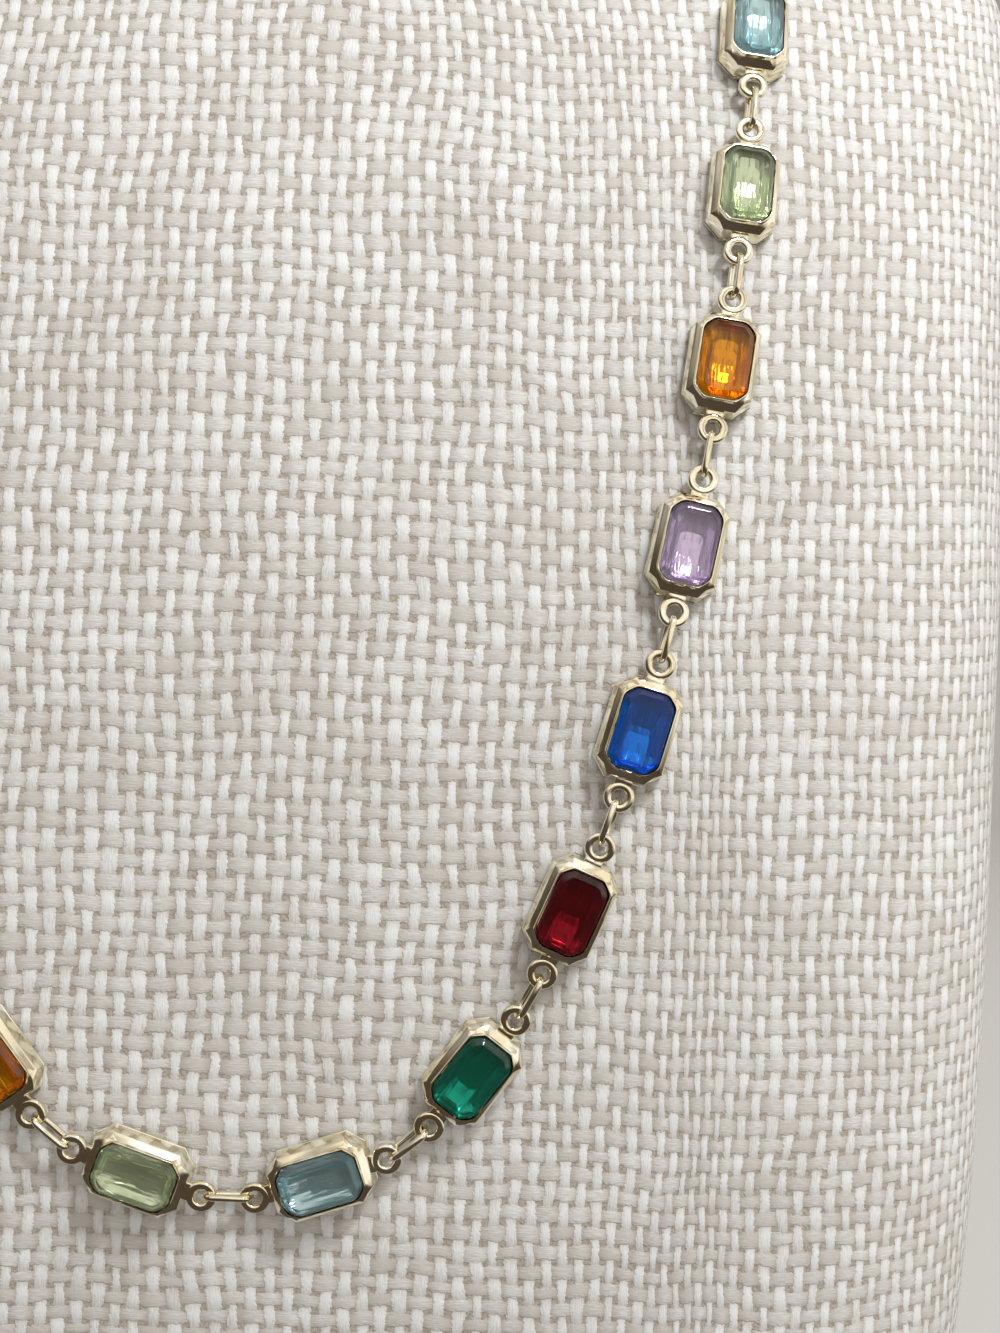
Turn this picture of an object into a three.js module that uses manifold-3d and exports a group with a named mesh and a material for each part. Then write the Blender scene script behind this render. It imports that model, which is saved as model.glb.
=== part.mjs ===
// Station necklace on a linen-covered neck bust.
//
// Millimetres, +Z up, the bust faces -Y. Emerald-cut stones sit in octagonal bezels that have an eye
// soldered to each end. One oval link joins each pair of neighbouring eyes, standing edge-on to the
// cloth, and a plain ring clasp closes the loop at the nape. The loop is symmetric about X = 0: each
// half is walked along a route over the bust from the front centre to the nape.

import * as THREE from 'three';
import { mergeVertices } from 'three/addons/utils/BufferGeometryUtils.js';
import Module from 'manifold-3d';

const wasm = await Module();
wasm.setup();

// ---------------------------------------------------------------- the loop
const HALF_STATIONS = 14;
const SEPARATE_STATIONS = 6;      // from the front centre: these settings and links are solids of their own
const RUN_STATIONS = 4;           // settings joined with their links in each run of the hidden back
const EYE_REACH = 5.05;           // station centre to the centre of its eye
const EYE_SPACING = 3.95;         // eye centre to the next station's eye centre
const CLASP_REACH = 4.5;          // clasp centre to its eye centre
const EYE_PLANE = 0.95;           // height of the eyes above the bezel's underside
const LIFT = 1.40;                // height of the eyes above the cloth
const OUTWARD_PROBE = 8;          // how far off the thread the outward direction is taken

// ---------------------------------------------------------------- wire
const EYE = { radius: 0.9, wire: 0.25 };
const LINK = { halfWidth: 0.68, wire: 0.25 };
const LOOSE_SEAT = 0.15;          // from an eye's centre to a link that hangs free in it
const SOLDER_SEAT = 0.65;         // the same where the link is joined to the eye
const SOLDER = { radius: 0.32, from: 3.4, to: 4.2, sides: 4 };   // from and to are along the station
const CLASP = { radius: 3.1, wire: 0.4, sides: 5, steps: 12 };
const FINE = { sides: 5, steps: 8 };      // of the wire in the pieces that are solids of their own
const PLAIN = { sides: 4, steps: 6 };     // of the wire in the joined runs

// ---------------------------------------------------------------- bezel and stone, as stacked octagons
// up the outside of the bezel, over the lip and down the inside to the floor
const BEZEL = [
    { height: 0.00, width: 5.30, length: 7.76, cut: 1.18 },
    { height: 0.25, width: 5.36, length: 7.82, cut: 1.20 },
    { height: 1.48, width: 5.00, length: 7.38, cut: 1.10 },
    { height: 1.90, width: 4.20, length: 6.36, cut: 0.86 },
    { height: 2.25, width: 4.16, length: 6.32, cut: 0.85 },
    { height: 2.25, width: 3.94, length: 6.08, cut: 0.78 },
    { height: 0.40, width: 3.92, length: 6.06, cut: 0.78 },
];
const PLAIN_BEZEL = [BEZEL[0], BEZEL[2], BEZEL[4], BEZEL[5], BEZEL[6]];
const STONE = [
    { height: 0.67, width: 0.50, length: 2.30, cut: 0.12 },
    { height: 0.97, width: 1.60, length: 3.50, cut: 0.35 },
    { height: 1.49, width: 2.90, length: 5.00, cut: 0.60 },
    { height: 2.11, width: 3.84, length: 5.98, cut: 0.76 },
    { height: 2.25, width: 3.84, length: 5.98, cut: 0.76 },
    { height: 2.65, width: 2.88, length: 5.02, cut: 0.60 },
];
// in order along the thread, repeating
const STONES = [
    { name: 'aqua', colour: 0x8fd0dc },
    { name: 'emerald', colour: 0x0b5a4a },
    { name: 'garnet', colour: 0x5a0a18 },
    { name: 'sapphire', colour: 0x0d3fc0 },
    { name: 'amethyst', colour: 0xb79fd6 },
    { name: 'orange', colour: 0xf08410 },
    { name: 'peridot', colour: 0xb9cf8c },
];

// ---------------------------------------------------------------- bust
// level sections from the base to the top of the neck; `square` bends an ellipse (2) towards a box
const BUST = [
    { height: 0, halfWidth: 57.0, front: 28.0, back: 27.0, square: 4.6 },
    { height: 25, halfWidth: 58.6, front: 33.5, back: 30.0, square: 5.0 },
    { height: 50, halfWidth: 59.8, front: 36.0, back: 31.5, square: 5.0 },
    { height: 86, halfWidth: 60.1, front: 35.5, back: 32.5, square: 4.8 },
    { height: 112, halfWidth: 60.9, front: 32.0, back: 33.0, square: 4.2 },
    { height: 132, halfWidth: 62.0, front: 27.0, back: 33.5, square: 3.6 },
    { height: 146, halfWidth: 61.0, front: 22.0, back: 33.0, square: 3.0 },
    { height: 154, halfWidth: 55.5, front: 19.0, back: 32.5, square: 2.6 },
    { height: 161, halfWidth: 44.5, front: 17.5, back: 31.0, square: 2.4 },
    { height: 168, halfWidth: 36.0, front: 16.5, back: 29.5, square: 2.3 },
    { height: 177, halfWidth: 31.5, front: 16.5, back: 28.5, square: 2.2 },
    { height: 190, halfWidth: 30.0, front: 17.5, back: 28.0, square: 2.1 },
    { height: 214, halfWidth: 30.5, front: 19.5, back: 29.0, square: 2.1 },
];
const BUST_ROUNDING = { base: 3.5, rim: 11 };
const BUST_LEVELS = 24;
const BUST_SEGMENTS = 44;
const ROUNDING_LEVELS = 3;

// ---------------------------------------------------------------- the route of the thread
// the front hangs as a tall oval; from its end the thread goes round the side of the neck to the nape
const DRAPE = { halfWidth: 37.3, middle: 155.5, drop: 107.4, fullness: 0.835, until: 90, knots: 10 };
const NAPE = { lowest: 172, highest: 205, climb: 2.4, knots: 6 };
// the thread bridges the hollow at the neck's root
const SADDLE = { height: 172, reach: 12, lift: 1.3 };

const ROUTE_WINDOW = 0.2;         // a station is always shorter than this share of the route
const HALVINGS = 36;
const WELD = 1e-5;                // vertices nearer than this are one

const bustTop = BUST.at(-1).height;

// how far the rounding at the base and the rim draws the skin in
function inset(height) {
    const { base, rim } = BUST_ROUNDING;
    const underBase = Math.max(0, base - height);
    const overRim = Math.min(rim, Math.max(0, height - (bustTop - rim)));
    return base - Math.sqrt(base ** 2 - underBase ** 2) + rim - Math.sqrt(rim ** 2 - overRim ** 2);
}

// one column of the bust's table at any height, as a smooth curve through its rows
function bustSize(height, column) {
    const last = BUST.length - 1;
    const next = Math.min(last, Math.max(1, BUST.findIndex((row) => row.height >= height)));
    const slope = (row) => {
        const a = BUST[Math.max(0, row - 1)];
        const b = BUST[Math.min(last, row + 1)];
        return (b[column] - a[column]) / (b.height - a.height);
    };
    const low = BUST[next - 1];
    const high = BUST[next];
    const span = high.height - low.height;
    const t = (height - low.height) / span;
    return (2 * t ** 3 - 3 * t ** 2 + 1) * low[column] + (t ** 3 - 2 * t ** 2 + t) * span * slope(next - 1)
        + (3 * t ** 2 - 2 * t ** 3) * high[column] + (t ** 3 - t ** 2) * span * slope(next);
}

// a point of the bust's skin; the angle is -90 degrees at the front centre, 0 at the side, 90 at the nape
function skin(height, angle) {
    const bend = 2 / bustSize(height, 'square');
    const c = Math.cos(angle);
    const s = Math.sin(angle);
    const width = bustSize(height, 'halfWidth') - inset(height);
    const depth = bustSize(height, s < 0 ? 'front' : 'back') - inset(height);
    const x = width * Math.sign(c) * Math.abs(c) ** bend;
    const y = depth * Math.sign(s) * Math.abs(s) ** bend;
    return new THREE.Vector3(x, y, height);
}

function skinNormal(height, angle) {
    const turn = 0.001;
    const rise = 0.02;
    const round = skin(height, angle + turn).sub(skin(height, angle - turn));
    const up = skin(height + rise, angle).sub(skin(height - rise, angle));
    return round.cross(up).normalize();
}

// the angle at which the front of the skin is a distance x from the middle
function frontAngle(height, x) {
    const part = Math.min(1, x / bustSize(height, 'halfWidth'));
    return -Math.acos(part ** (bustSize(height, 'square') / 2));
}

// one half of the thread from the front centre to a nape at the given height: the eyes' line, and a
// second line further out that gives the outward direction
function halfRoute(napeHeight) {
    const knots = [];
    for (let i = 0; i <= DRAPE.knots; i++) {
        const turn = THREE.MathUtils.degToRad(DRAPE.until * i / DRAPE.knots);
        const height = DRAPE.middle - DRAPE.drop * Math.cos(turn);
        knots.push([height, frontAngle(height, DRAPE.halfWidth * Math.sin(turn) ** DRAPE.fullness)]);
    }
    const [startHeight, startAngle] = knots.at(-1);
    for (let i = 1; i <= NAPE.knots; i++) {
        const part = i / NAPE.knots;
        const height = startHeight + (napeHeight - startHeight) * (1 - (1 - part) ** NAPE.climb);
        knots.push([height, startAngle + (Math.PI / 2 - startAngle) * part]);
    }
    const line = (extra) => {
        const points = knots.map(([height, angle]) => {
            const bridge = SADDLE.lift * Math.exp(-(((height - SADDLE.height) / SADDLE.reach) ** 2));
            return skin(height, angle).addScaledVector(skinNormal(height, angle), LIFT + bridge + extra);
        });
        const mirror = (p) => new THREE.Vector3(-p.x, p.y, p.z);
        return new THREE.CatmullRomCurve3([mirror(points[1]), ...points, mirror(points.at(-2))]);
    };
    return { near: line(0), far: line(OUTWARD_PROBE), start: 1 / (knots.length + 1) };
}

// how far along the route the point a straight distance ahead of `from` lies
function ahead(route, from, distance) {
    const origin = route.near.getPoint(from);
    let low = from;
    let high = Math.min(1, from + ROUTE_WINDOW);
    for (let i = 0; i < HALVINGS; i++) {
        const middle = (low + high) / 2;
        if (route.near.getPoint(middle).distanceTo(origin) < distance) low = middle;
        else high = middle;
    }
    return low;
}

// the eyes of one half in order: station 1 inner, station 1 outer, station 2 inner ... the clasp's eye
function walk(route) {
    const places = [];
    let at = ahead(route, route.start, EYE_SPACING / 2);
    for (let i = 0; i < HALF_STATIONS; i++) {
        places.push(at);
        at = ahead(route, at, 2 * EYE_REACH);
        places.push(at);
        at = ahead(route, at, EYE_SPACING);
    }
    places.push(at);
    return places;
}

// the nape height at which the two halves leave just the clasp's width between their last eyes
function closedRoute() {
    let { lowest: low, highest: high } = NAPE;
    for (let i = 0; i < HALVINGS; i++) {
        const middle = (low + high) / 2;
        const route = halfRoute(middle);
        const lastEye = route.near.getPoint(walk(route).at(-1));
        if (lastEye.x > CLASP_REACH) high = middle;
        else low = middle;
    }
    return halfRoute(low);
}

// a frame with Y along the thread from one eye to the next and Z away from the cloth
function frameBetween(from, to, outward) {
    const along = to.clone().sub(from).normalize();
    const across = along.clone().cross(outward).normalize();
    const out = across.clone().cross(along);
    const middle = from.clone().add(to).multiplyScalar(0.5);
    return new THREE.Matrix4().makeBasis(across, along, out).setPosition(middle);
}

// ---------------------------------------------------------------- shapes
function octagon({ height, width, length, cut }) {
    const x = width / 2;
    const y = length / 2;
    const corners = [
        [x, y - cut], [x - cut, y], [cut - x, y], [-x, y - cut],
        [-x, cut - y], [cut - x, -y], [x - cut, -y], [x, cut - y],
    ];
    return corners.map(([px, py]) => new THREE.Vector3(px, py, height));
}

// a closed solid through rings of equal counts, with a flat end on the first and the last
function loft(rings) {
    const count = rings[0].length;
    const index = [];
    for (let i = 2; i < count; i++) {
        const last = (rings.length - 1) * count;
        index.push(0, i, i - 1);
        index.push(last, last + i - 1, last + i);
    }
    for (let r = 1; r < rings.length; r++) {
        for (let i = 0; i < count; i++) {
            const a = (r - 1) * count + i;
            const b = (r - 1) * count + (i + 1) % count;
            index.push(a, b, b + count, a, b + count, a + count);
        }
    }
    const geometry = new THREE.BufferGeometry().setFromPoints(rings.flat());
    geometry.setIndex(index);
    return geometry;
}

// a closed loop of round wire in the XY plane, drawn out along Y when halfLength is over halfWidth
function wireLoop(halfLength, halfWidth, wire, { sides, steps }) {
    const loop = new THREE.TorusGeometry(halfWidth, wire, sides, steps);
    const position = loop.attributes.position;
    for (let i = 0; i < position.count; i++) {
        const y = position.getY(i);
        const side = THREE.MathUtils.clamp(2 * y / halfWidth, -1, 1);
        position.setY(i, y + side * (halfLength - halfWidth));
    }
    return loop;
}

function toSolid(geometry) {
    const bare = geometry.clone();
    bare.deleteAttribute('normal');
    bare.deleteAttribute('uv');
    const merged = mergeVertices(bare, WELD);
    const vertProperties = new Float32Array(merged.attributes.position.array);
    const triVerts = new Uint32Array(merged.index.array);
    return new wasm.Manifold(new wasm.Mesh({ numProp: 3, vertProperties, triVerts }));
}

function joined(geometries) {
    const solid = geometries.map(toSolid).reduce((all, one) => all.add(one));
    const { vertProperties, triVerts } = solid.getMesh();
    const geometry = new THREE.BufferGeometry();
    geometry.setAttribute('position', new THREE.BufferAttribute(vertProperties, 3));
    geometry.setIndex(new THREE.BufferAttribute(triVerts, 1));
    return geometry;
}

// the parts of one setting about its station's centre, at the height of the eyes
function settingParts(rows, detail) {
    const parts = [loft(rows.map(octagon)).translate(0, 0, -EYE_PLANE)];
    for (const end of [-1, 1]) {
        parts.push(wireLoop(EYE.radius, EYE.radius, EYE.wire, detail).translate(0, end * EYE_REACH, 0));
        const { radius, from, to, sides } = SOLDER;
        const solder = new THREE.CylinderGeometry(radius, radius, to - from, sides);
        parts.push(solder.translate(0, end * (from + to) / 2, 0));
    }
    return parts;
}

// one link on edge, about the middle of two eyes; a seat is how far its end lies from the eye's centre
function linkShape(spacing, seatBehind, seatAhead, detail) {
    const halfLength = (spacing - seatBehind - seatAhead) / 2;
    const link = wireLoop(halfLength, LINK.halfWidth, LINK.wire, detail).rotateY(Math.PI / 2);
    return link.translate(0, (seatBehind - seatAhead) / 2, 0);
}

function bustShape() {
    const heights = [];
    for (let i = 0; i < ROUNDING_LEVELS; i++) {
        heights.push(BUST_ROUNDING.base * (1 - Math.cos(i / ROUNDING_LEVELS * Math.PI / 2)));
    }
    const straight = bustTop - BUST_ROUNDING.rim - BUST_ROUNDING.base;
    for (let i = 0; i <= BUST_LEVELS; i++) {
        heights.push(BUST_ROUNDING.base + straight * i / BUST_LEVELS);
    }
    for (let i = 1; i <= ROUNDING_LEVELS; i++) {
        heights.push(bustTop - BUST_ROUNDING.rim * (1 - Math.sin(i / ROUNDING_LEVELS * Math.PI / 2)));
    }
    return loft(heights.map((height) => {
        const ring = [];
        for (let i = 0; i < BUST_SEGMENTS; i++) {
            ring.push(skin(height, 2 * Math.PI * i / BUST_SEGMENTS - Math.PI / 2));
        }
        return ring;
    }));
}

// ---------------------------------------------------------------- assembly
const gold = new THREE.MeshStandardMaterial({ color: 0xd8c48e, roughness: 0.22, metalness: 1 });
const linen = new THREE.MeshStandardMaterial({ color: 0xd4cabf, roughness: 0.95, metalness: 0 });
const glass = STONES.map(({ colour }) => (
    new THREE.MeshStandardMaterial({ color: colour, roughness: 0.05, metalness: 0 })
));

const necklaceOnBust = new THREE.Group();

function addPiece(name, geometry, material, frame) {
    const mesh = new THREE.Mesh(geometry, material);
    mesh.name = name;
    if (frame) mesh.applyMatrix4(frame);
    necklaceOnBust.add(mesh);
}

const twoDigits = (number) => String(number).padStart(2, '0');

const route = closedRoute();
const places = walk(route);

// a frame on the right half between two places of the route, and its mirror image on the left half
function frameAt(fromPlace, toPlace, side) {
    const from = route.near.getPoint(fromPlace);
    const to = route.near.getPoint(toPlace);
    const between = (fromPlace + toPlace) / 2;
    const outward = route.far.getPoint(between).sub(route.near.getPoint(between));
    if (side < 0) {
        for (const vector of [from, to, outward]) vector.x = -vector.x;
    }
    return frameBetween(from, to, outward);
}

const setting = joined(settingParts(BEZEL, FINE));
const stone = loft(STONE.map(octagon)).translate(0, 0, -EYE_PLANE);
const looseLink = linkShape(EYE_SPACING, LOOSE_SEAT, LOOSE_SEAT, FINE);

for (const side of [-1, 1]) {
    // stations are numbered from the clasp's left end, so that 14 and 15 are either side of the front
    const stationNumber = (k) => (side > 0 ? HALF_STATIONS + k : HALF_STATIONS + 1 - k);
    const linkNumber = (k) => (side > 0 ? stationNumber(k + 1) : stationNumber(k));
    const stationFrame = (k) => frameAt(places[2 * k - 2], places[2 * k - 1], side);
    const linkFrame = (k) => frameAt(places[2 * k - 1], places[2 * k], side);

    for (let k = 1; k <= HALF_STATIONS; k++) {
        const number = stationNumber(k);
        const kind = (number - 1) % STONES.length;
        addPiece(`stone_${twoDigits(number)}_${STONES[kind].name}`, stone, glass[kind], stationFrame(k));
    }
    for (let k = 1; k <= SEPARATE_STATIONS; k++) {
        addPiece(`setting_${twoDigits(stationNumber(k))}`, setting, gold, stationFrame(k));
        addPiece(`link_${twoDigits(linkNumber(k))}`, looseLink, gold, linkFrame(k));
    }

    // the back: each run is soldered to its links, and hangs free in the piece below or above it
    const runs = [
        { name: 'lower', first: SEPARATE_STATIONS + 1, linkBelow: false, linkAbove: false },
        { name: 'upper', first: SEPARATE_STATIONS + RUN_STATIONS + 1, linkBelow: true, linkAbove: true },
    ];
    for (const run of runs) {
        const last = run.first + RUN_STATIONS - 1;
        const parts = [];
        const addLink = (k, below, above) => {
            parts.push(linkShape(EYE_SPACING, below, above, PLAIN).applyMatrix4(linkFrame(k)));
        };
        for (let k = run.first; k <= last; k++) {
            for (const part of settingParts(PLAIN_BEZEL, PLAIN)) {
                parts.push(part.applyMatrix4(stationFrame(k)));
            }
            if (k < last) addLink(k, SOLDER_SEAT, SOLDER_SEAT);
        }
        if (run.linkBelow) addLink(run.first - 1, LOOSE_SEAT, SOLDER_SEAT);
        if (run.linkAbove) addLink(last, SOLDER_SEAT, LOOSE_SEAT);
        addPiece(`chain_${side > 0 ? 'right' : 'left'}_${run.name}`, joined(parts), gold);
    }
}

// the link at the front centre and the clasp at the nape cross from one half to the other
function crossing(place) {
    const right = route.near.getPoint(place);
    const left = new THREE.Vector3(-right.x, right.y, right.z);
    const outward = route.far.getPoint(place).sub(right);
    outward.x = 0;
    return frameBetween(left, right, outward);
}
addPiece(`link_${twoDigits(HALF_STATIONS + 1)}`, looseLink, gold, crossing(places[0]));

const claspParts = [wireLoop(CLASP.radius, CLASP.radius, CLASP.wire, CLASP)];
for (const end of [-1, 1]) {
    claspParts.push(wireLoop(EYE.radius, EYE.radius, EYE.wire, FINE).translate(0, end * CLASP_REACH, 0));
}
addPiece('clasp', joined(claspParts), gold, crossing(places.at(-1)));

addPiece('neck_bust', bustShape(), linen);

// the origin is the middle of the whole thing's underside
const box = new THREE.Box3().setFromObject(necklaceOnBust, true);
const centre = box.getCenter(new THREE.Vector3());
for (const piece of necklaceOnBust.children) {
    piece.position.y -= centre.y;
}

export default necklaceOnBust;
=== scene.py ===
# Looks of the station necklace on its linen neck bust. Lengths in the dictionaries are in millimetres.
import math

import bmesh
import bpy
import numpy as np
from mathutils import Matrix, Vector


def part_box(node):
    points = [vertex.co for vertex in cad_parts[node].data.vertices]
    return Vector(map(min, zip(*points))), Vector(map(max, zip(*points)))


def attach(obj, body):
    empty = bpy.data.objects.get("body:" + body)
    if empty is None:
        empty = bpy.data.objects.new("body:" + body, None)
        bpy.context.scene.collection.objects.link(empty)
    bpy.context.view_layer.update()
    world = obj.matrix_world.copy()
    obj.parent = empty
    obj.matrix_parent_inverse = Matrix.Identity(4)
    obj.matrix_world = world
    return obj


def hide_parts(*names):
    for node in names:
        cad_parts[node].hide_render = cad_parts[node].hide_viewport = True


mm = 0.001
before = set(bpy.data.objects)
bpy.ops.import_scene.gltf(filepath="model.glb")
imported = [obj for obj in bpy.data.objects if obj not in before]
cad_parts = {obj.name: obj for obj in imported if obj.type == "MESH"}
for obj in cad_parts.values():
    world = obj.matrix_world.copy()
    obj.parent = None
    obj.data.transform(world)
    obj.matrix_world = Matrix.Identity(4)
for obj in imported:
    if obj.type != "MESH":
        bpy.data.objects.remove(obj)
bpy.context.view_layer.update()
bpy.ops.object.select_all(action="DESELECT")
print("frame loaded:", len(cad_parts), "nodes")


# ---- camera, as a viewer stands close to the right half of the chest
cameraView = {
    "place": (18.2, -164.3, 93.4),
    "turnRight": 0.2,       # degrees
    "lookUp": -2.5,
    "roll": 1.9,
    "lens": 48.4,
    "sensor": 36,
    "clip": (0.005, 20),    # metres
}


def makeCamera(view):
    data = bpy.data.cameras.new("camera")
    data.lens = view["lens"]
    data.sensor_width = view["sensor"]
    data.clip_start, data.clip_end = view["clip"]
    camera = bpy.data.objects.new("camera", data)
    bpy.context.scene.collection.objects.link(camera)
    yaw, pitch, roll = (math.radians(view[key]) for key in ("turnRight", "lookUp", "roll"))
    look = Vector((math.sin(yaw) * math.cos(pitch), math.cos(yaw) * math.cos(pitch), math.sin(pitch)))
    side = look.cross(Vector((0, 0, 1))).normalized()
    up = side.cross(look)
    right = side * math.cos(roll) + up * math.sin(roll)
    above = up * math.cos(roll) - side * math.sin(roll)
    matrix = Matrix((right, above, -look)).transposed().to_4x4()
    matrix.translation = Vector(view["place"]) * mm
    camera.matrix_world = matrix
    bpy.context.scene.camera = camera


makeCamera(cameraView)
print("camera set")


# ---- small helpers for work in edit mode
def selectOnly(obj):
    bpy.ops.object.select_all(action="DESELECT")
    bpy.context.view_layer.objects.active = obj
    obj.select_set(True)


def startEdit(obj):
    selectOnly(obj)
    bpy.ops.object.mode_set(mode="EDIT")
    bpy.ops.mesh.select_all(action="DESELECT")


def endEdit():
    bpy.ops.object.mode_set(mode="OBJECT")


def pick(kind, wanted):
    # selects just the vertices, edges or faces that pass the test
    bpy.ops.mesh.select_all(action="DESELECT")
    bpy.ops.mesh.select_mode(type={"verts": "VERT", "edges": "EDGE", "faces": "FACE"}[kind])
    mesh = bmesh.from_edit_mesh(bpy.context.edit_object.data)
    mesh.normal_update()
    for part in getattr(mesh, kind):
        if wanted(part):
            part.select_set(True)
    mesh.select_flush_mode()
    bmesh.update_edit_mesh(bpy.context.edit_object.data)


def pickedMiddle():
    mesh = bmesh.from_edit_mesh(bpy.context.edit_object.data)
    places = [vertex.co for vertex in mesh.verts if vertex.select]
    return sum(places, Vector()) / len(places)


def edgeDirection(edge):
    return (edge.verts[1].co - edge.verts[0].co).normalized()


def edgeMiddle(edge):
    return (edge.verts[0].co + edge.verts[1].co) / 2


def isUpright(edge):
    return abs(edgeDirection(edge).z) > 0.9


def facesUp(face):
    return face.normal.z > 0.9


def insetSteps(steps):
    # each step draws the chosen face in, moves it out and may shorten it along Y
    for thickness, depth, *shorter in steps:
        bpy.ops.mesh.inset(thickness=thickness * mm, depth=depth * mm)
        if shorter:
            bpy.ops.transform.resize(value=(1, shorter[0], 1), center_override=(0, 0, 0))


def addModifier(obj, kind, **settings):
    selectOnly(obj)
    modifier = obj.modifiers.new(kind.lower(), kind)
    for key, value in settings.items():
        setattr(modifier, key, value)
    bpy.ops.object.modifier_apply(modifier=modifier.name)


def shadeByAngle(obj, degrees):
    selectOnly(obj)
    bpy.ops.object.shade_smooth_by_angle(angle=math.radians(degrees))


def applyPlace(obj):
    obj.data.transform(obj.matrix_world)
    obj.matrix_world = Matrix.Identity(4)


def joinAll(objects, name):
    bpy.ops.object.select_all(action="DESELECT")
    for obj in objects:
        obj.select_set(True)
    bpy.context.view_layer.objects.active = objects[0]
    if len(objects) > 1:
        bpy.ops.object.join()
    objects[0].name = name
    return objects[0]


def copyAt(pattern, matrix, name):
    copied = bpy.data.objects.new(name, pattern.data.copy())
    copied.data.transform(matrix)
    bpy.context.scene.collection.objects.link(copied)
    return copied


# ---- where the stations are, read from the stones of the frame
station = {
    "tableHeight": 2.65,    # of the CAD stone's table above the bezel's underside
    "eyeHeight": 0.95,      # of the eyes' middle plane above the underside
    "eyeReach": 5.05,       # station centre to eye centre
    "claspReach": 4.5,
}


def pointsOf(mesh):
    return np.array([vertex.co for vertex in mesh.vertices])


def uniquePoints(node):
    return np.unique(pointsOf(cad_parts[node].data).round(6), axis=0)


def frameMatrix(across, along, out, place):
    matrix = Matrix((across, along, out)).transposed().to_4x4()
    matrix.translation = place
    return matrix


def stoneFrame(node):
    # the long, middle and short axes of the stone are along the thread, across it and off the cloth
    points = uniquePoints(node)
    centre = points.mean(axis=0)
    axes = np.linalg.eigh(np.cov((points - centre).T))[1]
    out, along = Vector(axes[:, 0]), Vector(axes[:, 2])
    if out.dot(Vector((centre[0], centre[1], 0))) < 0:
        out.negate()
    top = max(out.dot(Vector(point)) for point in points)
    base = Vector(centre) + out * (top - out.dot(Vector(centre)) - station["tableHeight"] * mm)
    return base, along, out


stoneNodes = sorted(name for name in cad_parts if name.startswith("stone_"))
stationCount = len(stoneNodes)
bases = [stoneFrame(node) for node in stoneNodes]
stationFrames = []
for index, (base, along, out) in enumerate(bases):
    before, after = bases[max(index - 1, 0)][0], bases[min(index + 1, stationCount - 1)][0]
    if along.dot(after - before) < 0:
        along = -along
    stationFrames.append(frameMatrix(along.cross(out), along, out, base))


def eyePlace(index, end):
    return stationFrames[index] @ Vector((0, end * station["eyeReach"] * mm, station["eyeHeight"] * mm))


def frameBetween(start, finish, outward):
    along = (finish - start).normalized()
    across = along.cross(outward).normalized()
    return frameMatrix(across, along, across.cross(along), (start + finish) / 2)


def outOf(index):
    return stationFrames[index].to_3x3() @ Vector((0, 0, 1))


claspLow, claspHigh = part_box("clasp")
claspMiddle = (claspLow + claspHigh) / 2
claspOut = Vector((0, 1, 0)) + Vector((0, 0, outOf(0).z))
rightwards = Vector((1, 0, 0))
claspFrame = frameBetween(claspMiddle - rightwards, claspMiddle + rightwards, claspOut)
print("stations placed:", stationCount)


# ---- shader nodes written as expressions
class Number:
    # a number on its way through the nodes; arithmetic on it adds Math nodes
    def __init__(self, finish, socket):
        self.finish, self.socket = finish, socket

    def math(self, operation, *numbers):
        return self.finish.node("Math", {"operation": operation}, dict(enumerate(numbers)))

    def __add__(self, other):
        return self.math("ADD", self, other)

    __radd__ = __add__

    def __sub__(self, other):
        return self.math("SUBTRACT", self, other)

    def __rsub__(self, other):
        return self.math("SUBTRACT", other, self)

    def __mul__(self, other):
        return self.math("MULTIPLY", self, other)

    __rmul__ = __mul__

    def __truediv__(self, other):
        return self.math("DIVIDE", self, other)

    def __rtruediv__(self, other):
        return self.math("DIVIDE", other, self)

    def __gt__(self, other):
        return self.math("GREATER_THAN", self, other)

    def __lt__(self, other):
        return self.math("LESS_THAN", self, other)

    def __abs__(self):
        return self.math("ABSOLUTE", self)

    def __floor__(self):
        return self.math("FLOOR", self)

    def sine(self):
        return self.math("SINE", self)

    def root(self):
        return self.math("SQRT", self)

    def most(self, other):
        return self.math("MAXIMUM", self, other)

    def spread(self, low, high, toLow=0.0, toHigh=1.0):
        # a smooth step from low to high
        return self.finish.node("MapRange", {"interpolation_type": "SMOOTHSTEP"},
                                {0: self, 1: low, 2: high, 3: toLow, 4: toHigh})


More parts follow.
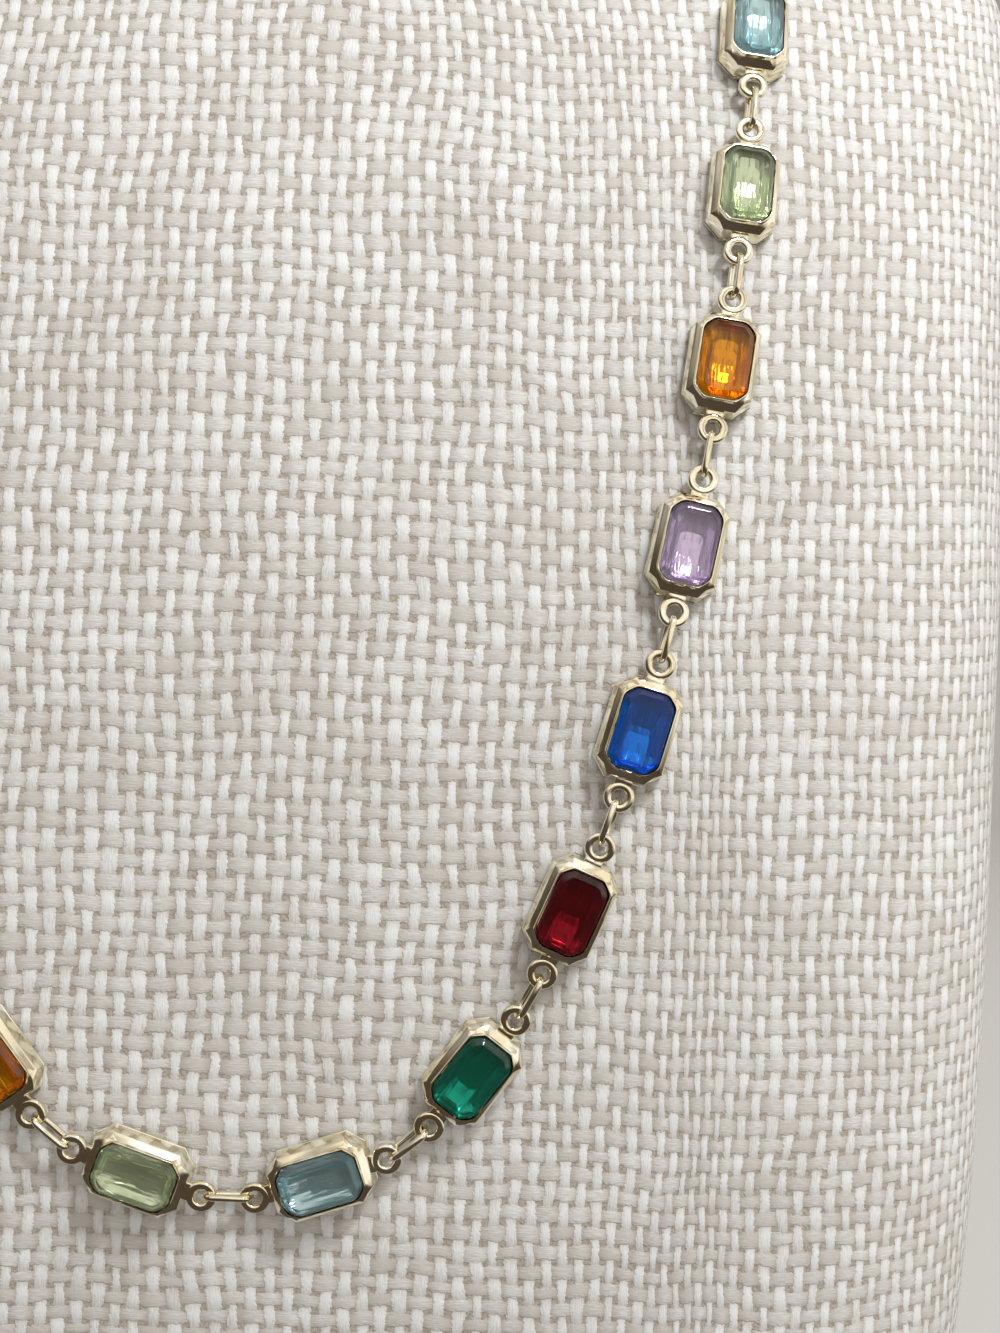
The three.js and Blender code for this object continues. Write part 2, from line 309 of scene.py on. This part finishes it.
class Finish:
    # one material, or the room's light, and the nodes it is made of
    def __init__(self, name, room=False):
        self.made = bpy.data.worlds.new(name) if room else bpy.data.materials.new(name)
        self.made.use_nodes = True
        self.tree = self.made.node_tree
        self.tree.nodes.clear()
        self.output = self.tree.nodes.new("ShaderNodeOutputWorld" if room else "ShaderNodeOutputMaterial")

    def node(self, kind, settings=None, inputs=None, output=0):
        made = self.tree.nodes.new("ShaderNode" + kind)
        for key, value in (settings or {}).items():
            setattr(made, key, value)
        for key, value in (inputs or {}).items():
            if isinstance(value, Number):
                self.tree.links.new(value.socket, made.inputs[key])
            else:
                made.inputs[key].default_value = value
        return Number(self, made.outputs[output])

    def split(self, vector):
        made = self.node("SeparateXYZ", None, {0: vector}).socket.node
        return [Number(self, socket) for socket in made.outputs]

    def point(self, x, y, z=0.0):
        return self.node("CombineXYZ", None, {0: x, 1: y, 2: z})

    def mix(self, amount, first, second, blend="MIX"):
        # colours
        settings = {"data_type": "RGBA", "blend_type": blend}
        return self.node("Mix", settings, {0: amount, 6: first, 7: second}, 2)

    def mixPoint(self, amount, first, second):
        return self.node("Mix", {"data_type": "VECTOR"}, {0: amount, 4: first, 5: second}, 1)

    def noise(self, place, scale, detail=2.0, dimensions="3D", output=0, **more):
        return self.node("TexNoise", {"noise_dimensions": dimensions},
                         {"Vector": place, "Scale": scale, "Detail": detail, **more}, output)

    def bump(self, height, distance, strength=1.0):
        return self.node("Bump", None, {"Height": height, "Distance": distance, "Strength": strength})

    def surface(self, inputs, kind="BsdfPrincipled"):
        shader = self.node(kind, None, inputs)
        self.tree.links.new(shader.socket, self.output.inputs["Surface"])
        return self.made

    def volume(self, colour, density):
        inside = self.node("VolumeAbsorption", None, {"Color": colour, "Density": density})
        self.tree.links.new(inside.socket, self.output.inputs["Volume"])


# ---- gold
goldFinish = {
    "colour": (0.84, 0.76, 0.55, 1),
    "paleColour": (0.95, 0.91, 0.76, 1),
    "roughness": (0.05, 0.15),
    "grain": 2600,          # per metre
    "wear": 420,
    "wearShare": 0.6,       # the rest is grain
    "relief": 0.008,
    "reliefStrength": 0.25,
}


def makeGold(looks):
    f = Finish("paleGold")
    place = f.node("TexCoord", None, None, "Object")
    grain = f.noise(place, looks["grain"], 3)
    wear = f.noise(place, looks["wear"], 2)
    uneven = wear * looks["wearShare"] + grain * (1 - looks["wearShare"])
    return f.surface({
        "Base Color": f.mix(wear.spread(0.4, 0.65), looks["colour"], looks["paleColour"]),
        "Metallic": 1.0,
        "Roughness": uneven.spread(0.35, 0.68, *looks["roughness"]),
        "Normal": f.bump(uneven, looks["relief"] * mm, looks["reliefStrength"]),
    })


# ---- coloured glass on a bright foil; density is per metre
stoneFinishes = {
    "aqua": {"absorb": (0.0, 0.78, 0.90, 1), "density": 140},
    "emerald": {"absorb": (0.0, 0.80, 0.71, 1), "density": 1300},
    "garnet": {"absorb": (0.76, 0.0, 0.20, 1), "density": 1500},
    "sapphire": {"absorb": (0.0, 0.67, 0.985, 1), "density": 1300},
    "amethyst": {"absorb": (0.52, 0.0, 0.92, 1), "density": 110},
    "orange": {"absorb": (0.9995, 0.82, 0.0, 1), "density": 1500},
    "peridot": {"absorb": (0.60, 0.92, 0.0, 1), "density": 120},
}
glassSurface = {"ior": 1.56, "handling": 900, "roughness": (0.0, 0.02)}
foilFinish = {
    "colour": (0.95, 0.94, 0.92, 1),
    "rimShadeColour": (0.38, 0.37, 0.36, 1),
    "rim": (0.80, 0.93),    # where painted shade darkens the foil towards the stone's edge, as a share of the way from the middle to the edge
    "halfSize": (1.92, 2.99, 4.15),     # across, along and across plus along at the corners
    "shine": 0.62,
    "roughness": (0.05, 0.12),
    "crinkle": 700,
    "crinkleShare": 0.12,
    "folds": (2.6, 0.35),   # per millimetre across and along the stone
    "relief": 0.07,
    "reliefStrength": 0.8,
}


def makeGlass(name, looks):
    f = Finish("glass" + name.capitalize())
    place = f.node("TexCoord", None, None, "Object")
    handling = f.noise(place, glassSurface["handling"], 2)
    f.volume(looks["absorb"], looks["density"])
    return f.surface({
        "Roughness": handling.spread(0.4, 0.7, *glassSurface["roughness"]),
        "IOR": glassSurface["ior"],
        "Transmission Weight": 1.0,
    })


def makeFoil(looks):
    f = Finish("stoneFoil")
    place = f.node("TexCoord", None, None, "Object")
    crinkle = f.noise(place, looks["crinkle"], 3)
    # folds in the foil run along the stone, which its own "cut" map gives in millimetres
    across, along, unused = f.split(f.node("UVMap", {"uv_map": "cut"}))
    foldsAcross, foldsAlong = looks["folds"]
    folds = f.noise(f.point(across * foldsAcross, along * foldsAlong), 1.0, 1.5, "2D")
    uneven = folds + crinkle * looks["crinkleShare"]
    halfAcross, halfAlong, corner = looks["halfSize"]
    sideways, lengthways = abs(across), abs(along)
    # painted shade: the foil is darkened towards the edge of the stone, so that a dark band rings it under
    # the bezel's lip
    outward = (sideways / halfAcross).most(lengthways / halfAlong).most((sideways + lengthways) / corner)
    return f.surface({
        "Base Color": f.mix(outward.spread(*looks["rim"]), looks["colour"], looks["rimShadeColour"]),
        "Metallic": looks["shine"],
        "Roughness": crinkle.spread(0.3, 0.7, *looks["roughness"]),
        "Normal": f.bump(uneven, looks["relief"] * mm, looks["reliefStrength"]),
    })


# ---- linen, drawn in millimetres on the bust's own "weave" map
linenFinish = {
    "warpPitch": 1.21,      # upright threads
    "weftPitch": 1.48,
    "warpHalf": 0.32,       # half a thread, as a share of the pitch
    "weftHalf": 0.36,
    "slub": 0.17,           # how much a thread's width changes, as a share of the pitch
    "sway": 0.30,           # how far a thread leaves its own line
    "fray": 0.20,           # the same for its edge
    "wander": 0.9,          # how far the whole weave is pulled about, in pitches
    "wanderScale": 0.09,    # scales are per millimetre
    "frayScale": 4.2,
    "threadRun": 0.42,      # per pitch along a thread
    "threadStep": 3.7,      # between one thread's noise and the next one's
    "warpSeed": 11.5,
    "weftSeed": 43.5,
    "crown": 0.5,           # how round a thread is, and how deep it goes over and under
    "crimp": 0.42,
    "groundDepth": 0.60,
    "fluff": 0.3,
    "streakAlong": 1.3,
    "streakAcross": 9,
    "streakRelief": 0.18,
    # the last share of the tone is a painted highlight: the warp is made lighter where it lies on top of
    # the weft
    "tone": {"thread": 0.6, "streak": 0.6, "cloud": 0.3, "raisedWarpHighlight": 0.30},
    "toneRange": (0.58, 1.20),      # from the warm to the pale colour
    "gapRange": (-0.22, 0.15),      # from thread to ground
    "sideRange": (-0.25, 0.92),     # where painted shade goes from the threads' sides to their crowns
    "pale": (0.665, 0.665, 0.66, 1),
    "warm": (0.475, 0.445, 0.41, 1),
    "ground": (0.52, 0.495, 0.465, 1),
    # the backing's own tan, and a darker tone that is painted shade where the backing sinks deepest between
    # the threads
    "groundShade": (0.41, 0.35, 0.285, 1),
    "shadedThreadSide": (0.74, 0.70, 0.645, 1),
    "threadCrown": (1.0, 1.0, 1.0, 1),
    "relief": 0.15,
}


def makeLinen(looks):
    f = Finish("linen")
    weave = f.node("UVMap", {"uv_map": "weave"})
    wanderX, wanderY, cloud = f.split(f.noise(weave, looks["wanderScale"], 1.0, "2D", "Color"))
    u, v, unused = f.split(weave)
    x = u / looks["warpPitch"] + wanderX * looks["wander"]
    y = v / looks["weftPitch"] + wanderY * looks["wander"]
    frayX, frayY, fluff = f.split(f.noise(weave, looks["frayScale"], 1.5, "2D", "Color"))

    def thread(position, along, wavePlace, half, loose, seed):
        # one set of threads: the height here, and the thread's tone
        index = math.floor(position)
        spot = f.point(index * looks["threadStep"] + seed, along * looks["threadRun"])
        width, sway, shade = f.split(f.noise(spot, 1.0, 1.0, "2D", "Color"))
        halfHere = half + (width - 0.5) * looks["slub"] * 2
        middle = position - index - 0.5 + (sway - 0.5) * looks["sway"] + (loose - 0.5) * looks["fray"]
        across = middle / halfHere
        inside = (1 - across * across).most(0)
        wave = ((wavePlace + index) * math.pi).sine()
        outside = inside < 0.001
        return inside.root() * looks["crown"] + wave * looks["crimp"] - outside * 2, shade

    warpHeight, warpShade = thread(x, y, y, looks["warpHalf"], frayX, looks["warpSeed"])
    weftHeight, weftShade = thread(y, x, x + 1, looks["weftHalf"], frayY, looks["weftSeed"])
    onTop = warpHeight > weftHeight
    ground = fluff * looks["fluff"] - looks["groundDepth"]
    threads = warpHeight.most(weftHeight)
    height = threads.most(ground)
    inGap = (ground - threads).spread(*looks["gapRange"])

    # fine streaks along whichever thread is on top
    lengthwise, crosswise = looks["streakAlong"], looks["streakAcross"]
    onWeft = f.point(u * lengthwise, v * crosswise)
    onWarp = f.point(u * crosswise, v * lengthwise)
    streaks = f.noise(f.mixPoint(onTop, onWeft, onWarp), 1.0, 2, "2D")
    shade = f.node("Mix", {"data_type": "FLOAT"}, {0: onTop, 2: weftShade, 3: warpShade})
    tone = looks["tone"]
    # the thread's random tone, plus a painted highlight on the warp where it lies over the weft
    light = shade * tone["thread"] + streaks * tone["streak"] + cloud * tone["cloud"] + onTop * tone["raisedWarpHighlight"]
    toneAndHighlight = light.spread(*looks["toneRange"])
    threadColour = f.mix(toneAndHighlight, looks["warm"], looks["pale"])
    # the gaps show the tan backing; painted shade darkens it where the ground lies deepest
    gapColourWithShade = f.mix(fluff.spread(0.30, 0.62), looks["groundShade"], looks["ground"])
    # painted shade: the sides of the threads and the low gaps are made warmer and darker than their crowns
    shadowed = f.mix(height.spread(*looks["sideRange"]), looks["shadedThreadSide"], looks["threadCrown"])
    colour = f.mix(1.0, f.mix(inGap, threadColour, gapColourWithShade), shadowed, "MULTIPLY")
    return f.surface({
        "Base Color": colour,
        "Roughness": toneAndHighlight.spread(0.0, 1.0, 0.85, 0.6),
        "Specular IOR Level": 0.4,
        "Sheen Weight": 0.1,
        "Normal": f.bump(height + streaks * looks["streakRelief"], looks["relief"] * mm),
    })


gold = makeGold(goldFinish)
glasses = {name: makeGlass(name, looks) for name, looks in stoneFinishes.items()}
foil = makeFoil(foilFinish)
linen = makeLinen(linenFinish)
print("finishes made")


# ---- one bezel with its eyes, its underside on z = 0
bezel = {
    "width": 5.36,
    "length": 7.82,
    "cornerCut": 1.2,
    "foot": 0.22,
    # in, up and how much shorter, from the foot's rim to the lip
    "wall": [(0.06, 0.06), (0.12, 1.20, 0.99), (0.40, 0.42, 0.965), (0.02, 0.34)],
    # over the lip and down the inside
    "seat": [(0.08, 0.03), (0.02, -1.85)],
    "cornerPoint": 0.12,
    "cornerWall": (0.37, 2.0),      # the heights between which a corner wall is cut to a point
    "openingSoft": 0.35,
    "softEdge": 0.03,
    "softAngle": 18,
    "shadeAngle": 32,
}
eye = {"radius": 1.15, "hole": 0.54, "height": 0.66, "rounding": 0.20, "steps": 28}
solder = {"size": (1.35, 0.75, 0.5), "sunk": 0.12, "softEdge": 0.12}


def makeBezel(sizes):
    half = sizes["foot"] / 2
    bpy.ops.mesh.primitive_cube_add(size=1, location=(0, 0, half * mm),
                                    scale=(sizes["width"] * mm, sizes["length"] * mm, sizes["foot"] * mm))
    obj = bpy.context.object
    applyPlace(obj)
    startEdit(obj)
    pick("edges", isUpright)
    bpy.ops.mesh.bevel(offset=sizes["cornerCut"] * mm, segments=1)
    pick("faces", facesUp)
    insetSteps(sizes["wall"])
    insetSteps(sizes["seat"])
    # the corner walls are cut to low points
    wallFoot, wallHead = (height * mm for height in sizes["cornerWall"])

    def onCornerWall(face):
        middle = face.calc_center_median()
        sideways = min(abs(face.normal.x), abs(face.normal.y)) > 0.3
        return sideways and wallFoot < middle.z < wallHead and face.normal.dot(middle) > 0.3 * middle.length

    pick("faces", onCornerWall)
    bpy.ops.mesh.poke(offset=sizes["cornerPoint"] * mm)
    pick("edges", lambda edge: abs(edgeDirection(edge).z) > 0.97 and edgeMiddle(edge).z > 1 * mm)
    bpy.ops.mesh.bevel(offset=sizes["openingSoft"] * mm, segments=3)
    endEdit()
    return obj


def makeEye(sizes, end):
    place = (0, end * station["eyeReach"] * mm, station["eyeHeight"] * mm)
    bpy.ops.mesh.primitive_cylinder_add(vertices=sizes["steps"], radius=sizes["radius"] * mm,
                                        depth=sizes["height"] * mm, location=place)
    obj = bpy.context.object
    applyPlace(obj)
    startEdit(obj)
    pick("faces", lambda face: abs(face.normal.z) > 0.9)
    bpy.ops.mesh.inset(thickness=(sizes["radius"] - sizes["hole"]) * mm)
    bpy.ops.mesh.bridge_edge_loops()
    pick("edges", lambda edge: edge.calc_face_angle(0) > math.radians(70))
    bpy.ops.mesh.bevel(offset=sizes["rounding"] * mm, segments=3)
    endEdit()
    return obj


def makeSolder(sizes, end):
    # the little neck that holds the eye to the end of the bezel
    place = (0, end * (bezel["length"] / 2 - sizes["sunk"]) * mm, station["eyeHeight"] * mm)
    bpy.ops.mesh.primitive_cube_add(size=1, location=place, scale=[size * mm for size in sizes["size"]])
    obj = bpy.context.object
    applyPlace(obj)
    addModifier(obj, "BEVEL", width=sizes["softEdge"] * mm, segments=2)
    return obj


def makeSetting():
    parts = [makeBezel(bezel)]
    addModifier(parts[0], "BEVEL", width=bezel["softEdge"] * mm, segments=2, limit_method="ANGLE",
                angle_limit=math.radians(bezel["softAngle"]))
    for end in (-1, 1):
        parts += [makeEye(eye, end), makeSolder(solder, end)]
    obj = joinAll(parts, "settingPattern")
    shadeByAngle(obj, bezel["shadeAngle"])
    obj.data.materials.append(gold)
    return obj


# ---- one oval link on edge, about the middle of two eyes
link = {
    "length": 3.82,
    "width": 1.9,
    "wire": 0.5,
    "steps": 28,            # round the link
    "sides": 12,            # round the wire
    "twist": (12, -17, 7, -9, 15),      # degrees, one link after another
}


def makeLink(sizes):
    radius = (sizes["width"] - sizes["wire"]) / 2
    bpy.ops.mesh.primitive_torus_add(major_radius=radius * mm, minor_radius=sizes["wire"] / 2 * mm,
                                     major_segments=sizes["steps"], minor_segments=sizes["sides"])
    obj = bpy.context.object
    startEdit(obj)
    for end in (-1, 1):
        # the halves of the ring are drawn apart
        pick("verts", lambda vert: vert.co.y * end > 0.02 * mm)
        bpy.ops.transform.translate(value=(0, end * (sizes["length"] - sizes["width"]) / 2 * mm, 0))
    endEdit()
    obj.name = "linkPattern"
    obj.data.transform(Matrix.Rotation(math.pi / 2, 4, "Y"))
    shadeByAngle(obj, 60)
    obj.data.materials.append(gold)
    return obj


# ---- one emerald-cut stone, its height counted from the bezel's underside
stone = {
    "width": 3.84,
    "length": 5.98,
    "cornerCut": 0.76,
    "cornerSoft": 0.30,
    "girdleHeight": 2.16,
    "girdle": 0.10,
    "crown": [(0.10, 0.15), (0.38, 0.29)],
    # down, and what is left of the width and the length
    "pavilion": [
        (0.62, 0.83, 0.92),
        (0.22, 0.67, 0.84),
        (0.15, 0.92, 0.70),
        (0.10, 0.90, 0.55),
        (0.04, 0.80, 0.30),
    ],
    "softEdge": 0.015,
    "softAngle": 8,
}


def makeStone(sizes):
    bpy.ops.mesh.primitive_cube_add(size=1, location=(0, 0, sizes["girdleHeight"] * mm),
                                    scale=(sizes["width"] * mm, sizes["length"] * mm, sizes["girdle"] * mm))
    obj = bpy.context.object
    applyPlace(obj)
    startEdit(obj)
    pick("edges", isUpright)
    bpy.ops.mesh.bevel(offset=sizes["cornerCut"] * mm, segments=1)
    pick("edges", isUpright)
    bpy.ops.mesh.bevel(offset=sizes["cornerSoft"] * mm, segments=2)
    pick("faces", facesUp)
    insetSteps(sizes["crown"])
    pick("faces", lambda face: face.normal.z < -0.9)
    for depth, narrower, shorter in sizes["pavilion"]:
        bpy.ops.mesh.extrude_region_move(TRANSFORM_OT_translate={"value": (0, 0, -depth * mm)})
        bpy.ops.transform.resize(value=(narrower, shorter, 1), center_override=(0, 0, 0))
    endEdit()
    addModifier(obj, "BEVEL", width=sizes["softEdge"] * mm, segments=1, limit_method="ANGLE",
                angle_limit=math.radians(sizes["softAngle"]))
    # the back is foiled
    obj.data.materials.append(glasses["aqua"])
    obj.data.materials.append(foil)
    for face in obj.data.polygons:
        face.material_index = int(face.normal.z < -0.2)
    cutMap = obj.data.uv_layers.new(name="cut")
    for loop in obj.data.loops:
        cutMap.data[loop.index].uv = obj.data.vertices[loop.vertex_index].co.xy / mm
    obj.name = "stonePattern"
    return obj


settingPattern = makeSetting()
linkPattern = makeLink(link)
stonePattern = makeStone(stone)
patterns = {"setting": settingPattern, "link": linkPattern, "stone": stonePattern}
print("patterns made, faces:", {name: len(pattern.data.polygons) for name, pattern in patterns.items()})


# ---- the loop
def finishPiece(obj, slotName, *nodes):
    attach(obj, "root")
    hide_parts(*nodes)
    return obj


def linkFrame(index):
    # between station index and the next one, or the clasp at either end
    twist = Matrix.Rotation(math.radians(link["twist"][index % len(link["twist"])]), 4, "Y")
    claspEye = Vector((0, station["claspReach"] * mm, 0))
    if index < 0:
        start, finish = claspFrame @ -claspEye, eyePlace(0, -1)
        outward = outOf(0)
    elif index == stationCount - 1:
        start, finish = eyePlace(index, 1), claspFrame @ claspEye
        outward = outOf(index)
    else:
        start, finish = eyePlace(index, 1), eyePlace(index + 1, -1)
        outward = outOf(index) + outOf(index + 1)
    return frameBetween(start, finish, outward) @ twist


for index, node in enumerate(stoneNodes):
    colourName = node.split("_")[-1]
    gem = copyAt(stonePattern, stationFrames[index], node + "_cut")
    gem.data.materials[0] = glasses[colourName]
    finishPiece(gem, "stone_" + colourName, node)
    setting = "setting_" + node.split("_")[1]
    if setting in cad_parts:
        finishPiece(copyAt(settingPattern, stationFrames[index], setting + "_bezel"), "gold", setting)

for index in range(stationCount):
    node = f"link_{index + 2:02d}"
    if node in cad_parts:
        finishPiece(copyAt(linkPattern, linkFrame(index), node + "_oval"), "gold", node)

# the joined runs of the back: the stations of each, and the links that go with it
chainRuns = {
    "chain_left_upper": {"stations": range(0, 4), "links": range(-1, 4)},
    "chain_left_lower": {"stations": range(4, 8), "links": range(4, 7)},
    "chain_right_lower": {"stations": range(20, 24), "links": range(20, 23)},
    "chain_right_upper": {"stations": range(24, 28), "links": range(23, 28)},
}
for node, run in chainRuns.items():
    parts = [copyAt(settingPattern, stationFrames[index], node) for index in run["stations"]]
    parts += [copyAt(linkPattern, linkFrame(index), node) for index in run["links"]]
    finishPiece(joinAll(parts, node + "_run"), "gold", node)
print("loop made")


# ---- the clasp: a plain ring with an eye at each side
clasp = {
    "ring": {"radius": 3.1, "wire": 0.4, "steps": 48},
    "eye": {"radius": 0.88, "wire": 0.24, "steps": 24},
    "sides": 12,
}


def makeClasp(sizes):
    rings = [(sizes["ring"], 0)]
    rings += [(sizes["eye"], end * station["claspReach"]) for end in (-1, 1)]
    parts = []
    for ring, offset in rings:
        bpy.ops.mesh.primitive_torus_add(location=(0, offset * mm, 0), major_radius=ring["radius"] * mm,
                                         minor_radius=ring["wire"] * mm, major_segments=ring["steps"],
                                         minor_segments=sizes["sides"])
        applyPlace(bpy.context.object)
        parts.append(bpy.context.object)
    obj = joinAll(parts, "clasp_ring")
    obj.data.transform(claspFrame)
    shadeByAngle(obj, 60)
    obj.data.materials.append(gold)
    return finishPiece(obj, "gold", "clasp")


makeClasp(clasp)
print("clasp made")


# ---- the bust in its linen
bust = {
    "swell": 0.22,
    "levels": 2,
    "capRings": (0.88, 0.80),   # each ring's share of the one outside it
    "tightenTurns": 4,
    "frontOverlap": 2,          # faces that the front panel of the cloth reaches past each side
}


def isFlatEnd(face):
    return abs(face.normal.z) > 0.98


def makeBust(sizes):
    obj = bpy.data.objects.new("neck_bust_linen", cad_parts["neck_bust"].data.copy())
    bpy.context.scene.collection.objects.link(obj)
    obj.data.materials.clear()
    startEdit(obj)
    bpy.ops.mesh.select_all(action="SELECT")
    bpy.ops.mesh.remove_doubles(threshold=0.002 * mm)
    bpy.ops.mesh.tris_convert_to_quads(face_threshold=math.radians(30), shape_threshold=math.radians(60))
    endEdit()
    mapWeave(obj.data)
    startEdit(obj)
    # each flat end becomes rings round a middle point, so that it stays even when it is smoothed
    for end in (-1, 1):
        pick("faces", lambda face: isFlatEnd(face) and face.normal.z * end > 0)
        bpy.ops.mesh.dissolve_faces()
        centre = pickedMiddle()
        for share in sizes["capRings"]:
            bpy.ops.mesh.extrude_region_move()
            bpy.ops.transform.resize(value=(share, share, 1), center_override=centre)
        bpy.ops.mesh.poke()
    endEdit()
    mapCaps(obj.data)
    tightenCage(obj, sizes["tightenTurns"])
    startEdit(obj)
    bpy.ops.mesh.select_all(action="SELECT")
    bpy.ops.transform.shrink_fatten(value=sizes["swell"] * mm)
    endEdit()
    addModifier(obj, "SUBSURF", levels=sizes["levels"], render_levels=sizes["levels"])
    bpy.ops.object.shade_smooth()
    obj.data.materials.append(linen)
    return finishPiece(obj, "linen", "neck_bust")


def tightenCage(obj, turns):
    # moves the cage out until its smoothed skin goes through the points of the frame's solid
    target = pointsOf(obj.data)
    for turn in range(turns):
        probe = bpy.data.objects.new("probe", obj.data.copy())
        bpy.context.scene.collection.objects.link(probe)
        addModifier(probe, "SUBSURF", levels=1, render_levels=1)
        miss = target - pointsOf(probe.data)[:len(target)]
        for vertex, shift in zip(obj.data.vertices, miss):
            vertex.co += Vector(shift)
        bpy.data.objects.remove(probe)
    print("bust skin within", round(abs(miss).max() / mm, 3), "mm")


def ringsOf(points):
    # the vertices of each level in order round the bust, starting at the front centre
    rings = []
    for level in np.unique(points[:, 2].round(2)):
        ring = np.where(points[:, 2].round(2) == level)[0]
        middle = points[ring[np.argmax(points[ring][:, 0])]][1]
        turn = np.arctan2(points[ring][:, 0], middle - points[ring][:, 1])
        rings.append(ring[np.argsort(turn.round(5) % (2 * math.pi))])
    return rings


def mapWeave(mesh):
    # millimetres along the cloth: a front and a back panel, meeting in a seam down each side
    points = pointsOf(mesh) / mm
    rings = ringsOf(points)
    count = len(rings[0])
    quarter, half = count // 4, count // 2
    print("bust rings:", len(rings), "of", count, "points")
    across = {"front": {}, "back": {}}
    upward = {}
    climb = np.zeros(count)
    for number, ring in enumerate(rings):
        steps = np.linalg.norm(points[np.roll(ring, -1)] - points[ring], axis=1)
        reach = np.concatenate(([0], np.cumsum(steps)))
        whole = reach[-1]
        if number:
            climb = climb + np.linalg.norm(points[ring] - points[rings[number - 1]], axis=1)
        for place, vertex in enumerate(ring):
            across["front"][vertex] = reach[place] if place <= half else reach[place] - whole
            across["back"][vertex] = reach[place] - reach[half]
            upward[vertex] = climb[place]
    place = {vertex: index for ring in rings for index, vertex in enumerate(ring)}
    frontEnd = quarter + bust["frontOverlap"]
    layer = mesh.uv_layers.new(name="weave")
    for face in mesh.polygons:
        if isFlatEnd(face):
            continue
        spots = [place[vertex] for vertex in face.vertices]
        onFront = all(spot <= frontEnd or spot >= count - frontEnd for spot in spots)
        panel = across["front" if onFront else "back"]
        for loop in face.loop_indices:
            vertex = mesh.loops[loop].vertex_index
            layer.data[loop].uv = (panel[vertex], upward[vertex])


def mapCaps(mesh):
    # the cloth lies straight across the flat ends
    layer = mesh.uv_layers["weave"]
    for face in mesh.polygons:
        if isFlatEnd(face):
            for loop in face.loop_indices:
                layer.data[loop].uv = mesh.vertices[mesh.loops[loop].vertex_index].co.xy / mm


makeBust(bust)
print("bust made")

for pattern in patterns.values():
    bpy.data.objects.remove(pattern)


# ---- floor, backdrop and light
studio = {
    # the floor turns up into the backdrop; metres
    "floorSize": 2.4,
    "floorLevel": -0.0002,
    "backdropAt": 0.80,
    "backdropHeight": 1.68,
    "bend": {"offset": 0.2, "segments": 10},
    "colour": (0.46, 0.455, 0.44, 1),
    "mottleColour": (0.42, 0.41, 0.39, 1),
    "mottle": 6,
    # only the small lamp glints in the gold and the glass
    "lights": {
        "key": {
            "place": (0.20, -0.34, 0.52),
            "aim": (0.02, -0.03, 0.10),
            "size": 0.06,
            "power": 1.50,
            "colour": (0.93, 0.97, 1.0),
            "glints": True,
        },
        "soft": {
            "place": (0.28, -0.32, 0.51),
            "aim": (0.02, -0.03, 0.10),
            "size": 0.165,
            "power": 1.65,
            "colour": (0.93, 0.97, 1.0),
            "glints": False,
        },
        "rear": {
            "place": (-0.28, 0.50, 0.42),
            "aim": (0.0, 0.03, 0.10),
            "size": 0.30,
            "power": 2.2,
            "colour": (1.0, 0.97, 0.94),
            "glints": False,
        },
    },
    "skyHigh": (1.0, 0.945, 0.88, 1),
    "skyLow": (0.07, 0.054, 0.042, 1),
    "skyEdge": (-0.08, 0.28),
    "skyTurn": 0.40,        # how far the bright side lies to the right
    "skyLeft": (-0.85, -0.30, 0.25, 1.0),   # where the room's left side darkens, and to how much
    # walls, shelves and windows: lighter and darker patches for the gold to mirror
    "patches": 2.6,
    "patchLight": (0.45, 1.3),
    "skyStrength": 1.12,
    "wall": (0.36, 0.355, 0.345, 1),
}


def makeStage(looks):
    f = Finish("paleFloor")
    place = f.node("TexCoord", None, None, "Object")
    mottle = f.noise(place, looks["mottle"], 3)
    colour = f.mix(mottle * 0.3, looks["colour"], looks["mottleColour"])
    material = f.surface({"Base Color": colour, "Roughness": 0.8})
    middle = looks["backdropAt"] - looks["floorSize"] / 2
    bpy.ops.mesh.primitive_plane_add(size=looks["floorSize"], location=(0, middle, looks["floorLevel"]))
    floor = bpy.context.object
    applyPlace(floor)

    def atBack(edge):
        return edgeMiddle(edge).y > looks["backdropAt"] - 0.01

    startEdit(floor)
    pick("edges", atBack)
    bpy.ops.mesh.extrude_region_move(TRANSFORM_OT_translate={"value": (0, 0, looks["backdropHeight"])})
    pick("edges", lambda edge: atBack(edge) and abs(edgeMiddle(edge).z) < 0.01)
    bpy.ops.mesh.bevel(**looks["bend"])
    endEdit()
    bpy.ops.object.shade_smooth()
    floor.name = "floorAndBackdrop"
    floor.visible_glossy = False    # the gold and the stones mirror the dim lower room instead
    floor.visible_transmission = False
    floor.data.materials.append(material)


def makeLight(name, looks):
    data = bpy.data.lights.new(name, "AREA")
    data.shape = "SQUARE"
    data.size, data.energy, data.color = looks["size"], looks["power"], looks["colour"]
    lamp = bpy.data.objects.new(name, data)
    bpy.context.scene.collection.objects.link(lamp)
    lamp.location = looks["place"]
    lamp.rotation_mode = "QUATERNION"
    lamp.rotation_quaternion = (Vector(looks["aim"]) - lamp.location).to_track_quat("-Z", "Y")
    lamp.visible_glossy = looks["glints"]


def makeSky(looks):
    # a dim room, lighter towards the ceiling
    f = Finish("softRoom", room=True)
    place = f.node("TexCoord", None, None, "Generated")
    east, north, up = f.split(place)
    towardsLamp = up + east * looks["skyTurn"]
    patches = f.noise(place, looks["patches"], 1.0).spread(0.38, 0.62, *looks["patchLight"])
    lit = towardsLamp.spread(*looks["skyEdge"]) * east.spread(*looks["skyLeft"]) * patches
    colour = f.mix(lit, looks["skyLow"], looks["skyHigh"])
    # past the backdrop's edges stands a plain pale wall
    seen = f.node("LightPath", None, None, "Is Camera Ray")
    colour = f.mix(seen, colour, looks["wall"])
    bpy.context.scene.world = f.surface({"Color": colour, "Strength": looks["skyStrength"]}, "Background")


makeStage(studio)
for lightName, looks in studio["lights"].items():
    makeLight(lightName + "Light", looks)
makeSky(studio)
bpy.context.scene.view_settings.view_transform = "Standard"
print("studio made")
